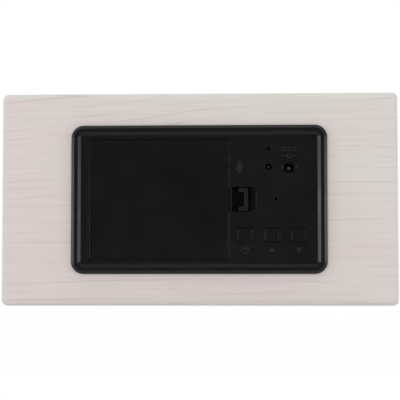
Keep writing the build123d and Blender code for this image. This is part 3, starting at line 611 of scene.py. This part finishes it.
def circuit_board(name):
    """Green solder mask over faint copper tracks."""
    material, tree, shader = new_material(name)
    place = drawn_place(tree)
    inputs = {"Vector": place, "Scale": track_density, "Randomness": track_disorder}
    settings = {"feature": "DISTANCE_TO_EDGE", "distance": "MANHATTAN"}
    tracks = add_node(tree, "ShaderNodeTexVoronoi", inputs, **settings).outputs["Distance"]
    edge = falling(tree, tracks, track_edge)
    weave = cloud(tree, place, mask_weave)
    mask = blend_colours(tree, rising(tree, weave, noise_range), tint(mask_dark), tint(mask_light))
    colour = blend_colours(tree, edge, mask, tint(track_colour))
    feed(tree, shader, Base_Color=colour, Roughness=spread(tree, weave, noise_range, mask_rough))
    emboss(tree, shader, edge, moulding_depth)
    return material


def pressed_fibre(name):
    """Bare fibreboard with fine mixed fibres."""
    material, tree, shader = new_material(name, pressed_specular)
    place = drawn_place(tree)
    coarse = cloud(tree, place, pressed_coarse, finest_layers)
    fine = cloud(tree, place, pressed_fine, fine_layers)
    colour = blend_colours(tree, coarse, tint(pressed_dark), tint(pressed_light))
    feed(tree, shader, Base_Color=colour, Roughness=spread(tree, fine, noise_range, pressed_rough))
    emboss(tree, shader, fine, pressed_depth)
    return material


def milky_sheet(name, colour, smooth):
    """Pale sheet that lets some light through."""
    values = {"Subsurface_Weight": milky_through_share, "Subsurface_Scale": milky_through_depth}
    material, tree, shader = new_material(name, milky_specular, **values)
    haze = cloud(tree, drawn_place(tree), milky_haze, fine_layers)
    bright = tint(colour)
    body = blend_colours(tree, haze, bright, dimmed(bright, milky_dull_share))
    rough = spread(tree, haze, noise_range, (smooth, smooth + milky_rough_spread))
    feed(tree, shader, Base_Color=body, Roughness=rough)
    return material


def cell_material(name, nub_side):
    """Plain wrapped cell: bare steel at both ends and a pale ring towards its nub."""
    material, tree, shader = new_material(name)
    generated = add_node(tree, "ShaderNodeTexCoord").outputs["Generated"]
    along = add_node(tree, "ShaderNodeSeparateXYZ", {0: generated}).outputs["X"]
    if nub_side < 0:
        along = calc(tree, "SUBTRACT", 1.0, along)
    haze = cloud(tree, drawn_place(tree), cell_haze)
    past = calc(tree, "GREATER_THAN", along, cell_ring_start_share)
    band = calc(tree, "MULTIPLY", past, calc(tree, "LESS_THAN", along, cell_ring_end_share))
    foot = calc(tree, "LESS_THAN", along, cell_foot_share)
    steel = calc(tree, "ADD", foot, calc(tree, "GREATER_THAN", along, cell_shoulder_share))
    wrapper = blend_colours(tree, band, tint(cell_blue), tint(cell_ring))
    bright = tint(cell_steel)
    metal = blend_colours(tree, haze, bright, dimmed(bright, cell_worn_share))
    body = blend_colours(tree, steel, wrapper, metal)
    rough = spread(tree, haze, noise_range, cell_rough)
    feed(tree, shader, Base_Color=body, Metallic=steel, Roughness=rough)
    emboss(tree, shader, haze, metal_depth)
    return material


def ribbon_material(name):
    """Grey wire covers with one red wire at the edge."""
    material, tree, shader = new_material(name, ribbon_specular)
    place = drawn_place(tree)
    across = add_node(tree, "ShaderNodeSeparateXYZ", {0: place}).outputs["X"]
    edge = (ribbon_low.x + ribbon_width / ribbon_wires) * scale_of_grain
    first = calc(tree, "LESS_THAN", across, edge)
    haze = cloud(tree, place, ribbon_haze, fine_layers)
    grey = blend_colours(tree, haze, tint(ribbon_dark), tint(ribbon_light))
    body = blend_colours(tree, first, grey, tint(ribbon_red))
    feed(tree, shader, Base_Color=body, Roughness=spread(tree, haze, noise_range, ribbon_rough))
    return material


materials = {}
for name, look in plastics.items():
    materials[name] = moulded_plastic(name, *look)
for name, look in metals.items():
    materials[name] = plated_metal(name, *look)
materials["circuit_board"] = circuit_board("circuit_board")
for name, look in milky_sheets.items():
    materials[name] = milky_sheet(name, *look)
materials["whitewashed_wood"] = wood_material("whitewashed_wood")
materials["front_wood"] = wood_material("front_wood", glowing=True)
materials["left_end_wood"] = wood_material("left_end_wood", end=1)
materials["right_end_wood"] = wood_material("right_end_wood", end=-1)
materials["fibreboard"] = pressed_fibre("fibreboard")
materials["cell_nub_right"] = cell_material("cell_nub_right", -1)
materials["cell_nub_left"] = cell_material("cell_nub_left", 1)
materials["ribbon"] = ribbon_material("ribbon")

for name, nodes in worn_by.items():
    for node in nodes:
        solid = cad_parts[node].data
        solid.materials.clear()
        solid.materials.append(materials[name])


def new_piece(name, mesh, material, body):
    """Object of the scene that rides a body and takes a slot's finish."""
    mesh.materials.append(materials[material])
    piece = bpy.data.objects.new(name, mesh)
    bpy.context.scene.collection.objects.link(piece)
    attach(piece, body)
    return piece


def finished_mesh(name, skin):
    """Mesh from faces that are turned to look outward."""
    mesh = bpy.data.meshes.new(name)
    bmesh.ops.recalc_face_normals(skin, faces=skin.faces)
    skin.to_mesh(mesh)
    skin.free()
    return mesh


def tube_mesh(name, rings):
    """Closed skin over rings of points, with flat ends."""
    skin = bmesh.new()
    loops = [[skin.verts.new(point) for point in ring] for ring in rings]
    count = len(loops[0])
    for before, after in zip(loops, loops[1:]):
        for step in range(count):
            following = (step + 1) % count
            face = skin.faces.new((before[step], before[following], after[following], after[step]))
            face.smooth = True
    skin.faces.new(loops[0])
    skin.faces.new(loops[-1])
    return finished_mesh(name, skin)


def spring_point(turn):
    """Point of a spring's wire after a number of turns: height first, then the round."""
    rise = (turn - spring_flat_turn_share) / (spring_turns - 2 * spring_flat_turn_share)
    share = min(max(rise, 0.0), 1.0)
    radius = spring_base_radius + (spring_tip_radius - spring_base_radius) * share
    height = spring_wire / 2 + (spring_length - spring_wire) * share
    angle = math.tau * turn
    return Vector((height, radius * math.cos(angle), radius * math.sin(angle)))


def spring_mesh(name, base, side):
    """Cone-shaped wire spring on its base; side is the way along X that it points."""
    rings = []
    for step in range(spring_turns * spring_steps + 1):
        turn = step / spring_steps
        ahead = spring_point(turn + 1.0 / spring_steps)
        along = (ahead - spring_point(turn)).normalized()
        outward = Vector((0.0, math.cos(math.tau * turn), math.sin(math.tau * turn)))
        upward = along.cross(outward).normalized()
        ring = []
        for corner in range(spring_sides):
            angle = math.tau * corner / spring_sides
            swing = (outward * math.cos(angle) + upward * math.sin(angle)) * spring_wire / 2
            point = spring_point(turn) + swing
            ring.append(base + Vector((side * point.x, point.y, point.z)))
        rings.append(ring)
    return tube_mesh(name, rings)


for number, side in nub_sides.items():
    low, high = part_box("battery_cell_" + number)
    flat_end = low.x if side > 0 else high.x
    base = box_middle("battery_cell_" + number)
    base.x = flat_end - side * (spring_length + spring_slack)
    coil = spring_mesh("spring_coil_" + number, base, side)
    piece = new_piece("spring_coil_" + number, coil, "spring_steel", "case")
    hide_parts("battery_spring_" + number)
    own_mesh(piece)


def ribbon_line():
    """Points along the ribbon's middle, read from a smooth spline with its route as control points."""
    across = (ribbon_low.x + ribbon_high.x) / 2
    main_level = ribbon_high.y - ribbon_thickness / 2
    display_level = ribbon_low.y + ribbon_thickness / 2
    top = ribbon_high.z
    foot = ribbon_low.z + ribbon_thickness / 2
    route = (
        (main_level, top),
        (main_level, ribbon_mouth),
        (main_level, foot),
        (display_level, foot),
        (display_level, ribbon_mouth),
        (display_level, top),
    )
    curve = bpy.data.curves.new("ribbon_route", "CURVE")
    curve.dimensions = "3D"
    curve.resolution_u = ribbon_steps
    spline = curve.splines.new("NURBS")
    spline.points.add(len(route) - 1)
    for point, (level, height) in zip(spline.points, route):
        point.co = (across, level, height, 1.0)
    spline.order_u = ribbon_order
    spline.use_endpoint_u = True
    carrier = bpy.data.objects.new("ribbon_route", curve)
    bpy.context.scene.collection.objects.link(carrier)
    bpy.context.view_layer.update()
    line = bpy.data.meshes.new_from_object(carrier)
    points = [vertex.co.copy() for vertex in line.vertices]
    bpy.data.objects.remove(carrier)
    bpy.data.curves.remove(curve)
    bpy.data.meshes.remove(line)
    return points


def ribbon_mesh(name):
    """Flat cable of round wires side by side, joined at their waists."""
    points = ribbon_line()
    pitch = ribbon_width / ribbon_wires
    crest = ribbon_thickness / 2
    waist = crest * ribbon_waist_share
    edge = ribbon_width / 2
    upper = []
    for wire in range(ribbon_wires):
        left = wire * pitch - edge
        upper.append((left, waist))
        for share in ribbon_crest_shares:
            upper.append((left + pitch * share, crest))
    upper.append((edge, waist))
    profile = upper + [(across, -rise) for across, rise in reversed(upper)]
    across = Vector((1.0, 0.0, 0.0))
    rings = []
    for step, point in enumerate(points):
        before = points[max(step - 1, 0)]
        after = points[min(step + 1, len(points) - 1)]
        along = (after - before).normalized()
        outward = along.cross(across).normalized()
        rings.append([point + across * side + outward * rise for side, rise in profile])
    return tube_mesh(name, rings)


ribbon = new_piece("ribbon_strip", ribbon_mesh("ribbon_strip"), "ribbon", "case")
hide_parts("ribbon_cable")


def segment_outlines():
    """Middle, half length and standing of every lit segment, seen from the front."""
    side = (digit_width - segment_width) / 2
    rise = (digit_height - segment_width) / 2
    places = {
        "a": (0.0, rise, False),
        "b": (side, rise / 2, True),
        "c": (side, -rise / 2, True),
        "d": (0.0, -rise, False),
        "e": (-side, -rise / 2, True),
        "f": (-side, rise / 2, True),
        "g": (0.0, 0.0, False),
    }
    lying = side - segment_gap
    standing = rise / 2 - segment_gap
    outlines = []
    for middle, digit in zip((-outer_digit, -inner_digit, inner_digit, outer_digit), lit_digits):
        for letter in lit_segments[digit]:
            across, up, upright = places[letter]
            outlines.append((middle + across, up, standing if upright else lying, upright))
    return outlines


def glow_at(across, up, outlines):
    """How brightly the display shines at a place on the film, from 0 to 1."""
    nearest = min(
        math.hypot(across, up - colon_height) - colon_radius,
        math.hypot(across, up + colon_height) - colon_radius,
    )
    for middle, height, half_length, upright in outlines:
        along = abs(up - height) if upright else abs(across - middle)
        beside = abs(across - middle) if upright else abs(up - height)
        point = (along + beside - half_length) / math.sqrt(2)
        nearest = min(nearest, max(beside - segment_width / 2, point))
    share = min(max((1 - nearest / glow_edge) / 2, 0.0), 1.0)
    return share * share * (3 - 2 * share)


def film_lines(edge, window):
    """Grid lines across the film: fine over the window and one step outside it."""
    count = int(2 * window / film_step)
    inside = [window * (2 * step / count - 1) for step in range(count + 1)]
    return [-edge] + inside + [edge]


def film_mesh(name):
    """Front film as a thin closed sheet, with the display's glow on its points."""
    low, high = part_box("front_film")
    across_lines = film_lines((high.x - low.x) / 2, film_window[0])
    up_lines = film_lines((high.z - low.z) / 2, film_window[1])
    outlines = segment_outlines()
    skin = bmesh.new()
    glow = skin.verts.layers.float.new("glow")
    grid = []
    for up in up_lines:
        row = []
        for across in across_lines:
            vertex = skin.verts.new((across, low.y, case_middle_z + up))
            vertex[glow] = glow_at(across, up, outlines)
            row.append(vertex)
        grid.append(row)
    for below, above in zip(grid, grid[1:]):
        for step in range(len(across_lines) - 1):
            skin.faces.new((below[step], below[step + 1], above[step + 1], above[step]))
    bottom_rim = grid[0][:-1]
    right_rim = [row[-1] for row in grid[:-1]]
    top_rim = grid[-1][:0:-1]
    left_rim = [row[0] for row in grid[:0:-1]]
    rim = bottom_rim + right_rim + top_rim + left_rim
    inner = [skin.verts.new((vertex.co.x, high.y, vertex.co.z)) for vertex in rim]
    for step in range(len(rim)):
        following = (step + 1) % len(rim)
        skin.faces.new((rim[following], rim[step], inner[step], inner[following]))
    skin.faces.new(list(reversed(inner)))
    return finished_mesh(name, skin)


film = new_piece("front_film_sheet", film_mesh("front_film_sheet"), "front_wood", "case")
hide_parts("front_film")


def round_point(across, up, radius, angle):
    """Point at an angle on a circle."""
    return (across + radius * math.cos(angle), up + radius * math.sin(angle))


def bar(across, up, width, height):
    """Outline of a bar."""
    right = width / 2
    top = height / 2
    return [
        (across - right, up - top),
        (across + right, up - top),
        (across + right, up + top),
        (across - right, up + top),
    ]


def triangle(across, up, size, pointing):
    """Outline of a triangle; pointing is its direction in degrees from the right."""
    start = math.radians(pointing)
    return [round_point(across, up, size / 2, start + math.tau * step / 3) for step in range(3)]


def ring_parts(across, up, radius):
    """Outlines that make a ring as wide as a mark's line."""
    inner = radius - mark_line
    parts = []
    for step in range(mark_ring_steps):
        start = math.tau * step / mark_ring_steps
        end = math.tau * (step + 1) / mark_ring_steps
        corners = ((inner, start), (radius, start), (radius, end), (inner, end))
        parts.append([round_point(across, up, reach, angle) for reach, angle in corners])
    return parts


def arrow(across, up, size):
    """Outline of an arrow that points down, with its shaft above the given place."""
    head_up = up - size * arrow_head_drop_share
    tip, right_wing, left_wing = triangle(across, head_up, size * arrow_head_share, pointing_down)
    neck = right_wing[1]
    top = up + size * arrow_shaft_share
    left = across - arrow_shaft_width / 2
    right = across + arrow_shaft_width / 2
    return [tip, right_wing, (right, neck), (right, top), (left, top), (left, neck), left_wing]


def clock_hands(across, up):
    """Outline of a clock's two hands, one up and one to the right."""
    half = mark_line / 2
    return [
        (across - half, up - half),
        (across + hand_across, up - half),
        (across + hand_across, up + half),
        (across + half, up + half),
        (across + half, up + hand_up),
        (across - half, up + hand_up),
    ]


def mark_mesh(name, outlines):
    """Raised marks on the panel's field from outlines seen from behind."""
    skin = bmesh.new()
    foot = field_level - mark_root
    for outline in outlines:
        skin.faces.new([skin.verts.new((-across, foot, panel_middle_z + up)) for across, up in outline])
    bmesh.ops.remove_doubles(skin, verts=skin.verts, dist=mark_join)
    grown = bmesh.ops.extrude_face_region(skin, geom=list(skin.faces))["geom"]
    raised = [item for item in grown if isinstance(item, bmesh.types.BMVert)]
    bmesh.ops.translate(skin, verts=raised, vec=(0.0, mark_root + mark_rise, 0.0))
    return finished_mesh(name, skin)


def add_mark(name, outlines):
    """One raised mark, its edges slightly rounded."""
    piece = new_piece(name, mark_mesh(name, outlines), "mark_plastic", "case")
    edge = piece.modifiers.new("edge", "BEVEL")
    edge.width = mark_bevel
    edge.segments = mark_bevel_steps
    edge.limit_method = "ANGLE"


add_mark("mark_arrow", [arrow(*arrow_place, arrow_size)])

across, up = supply_place
supply_mark = [bar(across, up + supply_bar_rise, supply_size, mark_line)]
for step in (-1, 0, 1):
    middle = across + step * supply_size * supply_dash_step_share
    supply_mark.append(bar(middle, up, supply_size * supply_dash_share, mark_line))
supply_mark += ring_parts(across, up - supply_ring_drop, supply_ring_radius)
for step in (-1, 1):
    middle = across + step * supply_size * supply_arm_step_share
    supply_mark.append(bar(middle, up - supply_ring_drop, supply_size * supply_arm_share, mark_line))
add_mark("mark_supply", supply_mark)

across = -box_middle("left_button").x
set_mark = ring_parts(across, button_mark_up, button_mark_size / 2)
set_mark.append(clock_hands(across, button_mark_up))
add_mark("mark_set", set_mark)
for name, node, pointing in (
    ("mark_up", "middle_button", pointing_up),
    ("mark_down", "right_button", pointing_down),
):
    across = -box_middle(node).x
    add_mark(name, [triangle(across, button_mark_up, button_mark_size, pointing)])


def ray_kinds(tree):
    """1 for rays that see the room plainly, from the camera or through glass, and 1 for gloss."""
    path = add_node(tree, "ShaderNodeLightPath").outputs
    shown = calc(tree, "MAXIMUM", path["Is Camera Ray"], path["Is Transmission Ray"])
    return shown, path["Is Glossy Ray"]


def make_floor():
    """Pale plain floor that keeps the object's shadow."""
    mesh = bpy.data.meshes.new("floor")
    half = floor_size / 2
    corners = [(-half, -half), (half, -half), (half, half), (-half, half)]
    mesh.from_pydata([(x, y, -floor_drop) for x, y in corners], [], [(0, 1, 2, 3)])
    floor = bpy.data.objects.new("floor", mesh)
    bpy.context.scene.collection.objects.link(floor)
    material = bpy.data.materials.new("floor")
    material.use_nodes = True
    tree = material.node_tree
    tree.nodes.clear()
    shown, glossy = ray_kinds(tree)
    place = add_node(tree, "ShaderNodeTexCoord").outputs["Object"]
    out = add_node(tree, "ShaderNodeSeparateXYZ", {0: place}).outputs["Y"]
    gloss = spread(tree, out, floor_gloss_range, (floor_gloss_level, room_gloss_level))
    share = spread(tree, shown, (0.0, 1.0), (floor_lift_share, floor_white_share))
    matt = add_node(tree, "ShaderNodeBsdfDiffuse", {"Color": floor_colour}).outputs[0]
    bright = add_node(tree, "ShaderNodeEmission", {"Strength": white_level}).outputs[0]
    mixed = add_node(tree, "ShaderNodeMixShader", {0: share, 1: matt, 2: bright}).outputs[0]
    shine = add_node(tree, "ShaderNodeEmission", {"Strength": gloss}).outputs[0]
    mixed = add_node(tree, "ShaderNodeMixShader", {0: glossy, 1: mixed, 2: shine}).outputs[0]
    add_node(tree, "ShaderNodeOutputMaterial", {"Surface": mixed})
    mesh.materials.append(material)


def make_room():
    """Soft even light, white where it shows and dim where gloss looks past the camera."""
    world = bpy.data.worlds.new("room")
    bpy.context.scene.world = world
    world.use_nodes = True
    tree = world.node_tree
    tree.nodes.clear()
    direction = add_node(tree, "ShaderNodeTexCoord").outputs["Generated"]
    axes = add_node(tree, "ShaderNodeSeparateXYZ", {0: direction}).outputs
    shown, glossy = ray_kinds(tree)
    facing = calc(tree, "ABSOLUTE", axes["Y"])
    broad = spread(tree, facing, (0.0, 1.0), (room_level, room_broad_level))
    top = spread(tree, axes["Z"], room_top_range, (room_level, room_top_level))
    lit = calc(tree, "MAXIMUM", broad, top)
    far = spread(tree, axes["Y"], room_far_gloss_range, (room_far_gloss_level, room_gloss_level))
    above = spread(tree, axes["Z"], room_top_gloss_range, (room_gloss_level, room_top_gloss_level))
    gloss = calc(tree, "MAXIMUM", far, above)
    level = blend_numbers(tree, glossy, lit, gloss)
    level = blend_numbers(tree, shown, level, white_level)
    light = add_node(tree, "ShaderNodeBackground", {"Color": white, "Strength": level})
    add_node(tree, "ShaderNodeOutputWorld", {"Surface": light.outputs[0]})


def add_lamp(name, place, size, power):
    """Soft rectangular lamp aimed at the object."""
    lamp = bpy.data.lights.new(name, "AREA")
    lamp.shape = "RECTANGLE"
    lamp.size, lamp.size_y = size
    lamp.energy = power
    holder = bpy.data.objects.new(name, lamp)
    bpy.context.scene.collection.objects.link(holder)
    holder.location = place
    holder.rotation_mode = "QUATERNION"
    holder.rotation_quaternion = (Vector(lamp_aim) - Vector(place)).to_track_quat("-Z", "Y")


def make_camera():
    """Camera where the photograph was taken from."""
    lens = bpy.data.cameras.new("camera")
    lens.lens = camera_lens
    camera = bpy.data.objects.new("camera", lens)
    bpy.context.scene.collection.objects.link(camera)
    camera.location = camera_place
    looking = Vector(
        (
            math.sin(camera_turn) * math.cos(camera_tilt),
            -math.cos(camera_turn) * math.cos(camera_tilt),
            math.sin(camera_tilt),
        )
    )
    camera.rotation_mode = "QUATERNION"
    camera.rotation_quaternion = looking.to_track_quat("-Z", "Y")
    bpy.context.scene.camera = camera


make_floor()
make_room()
make_camera()
side_across, side_out, side_up = side_lamp_place
add_lamp("left_lamp", side_lamp_place, side_lamp_size, left_lamp_power)
add_lamp("right_lamp", (-side_across, side_out, side_up), side_lamp_size, right_lamp_power)

bpy.context.scene.view_settings.view_transform = "Standard"

bpy.context.view_layer.update()
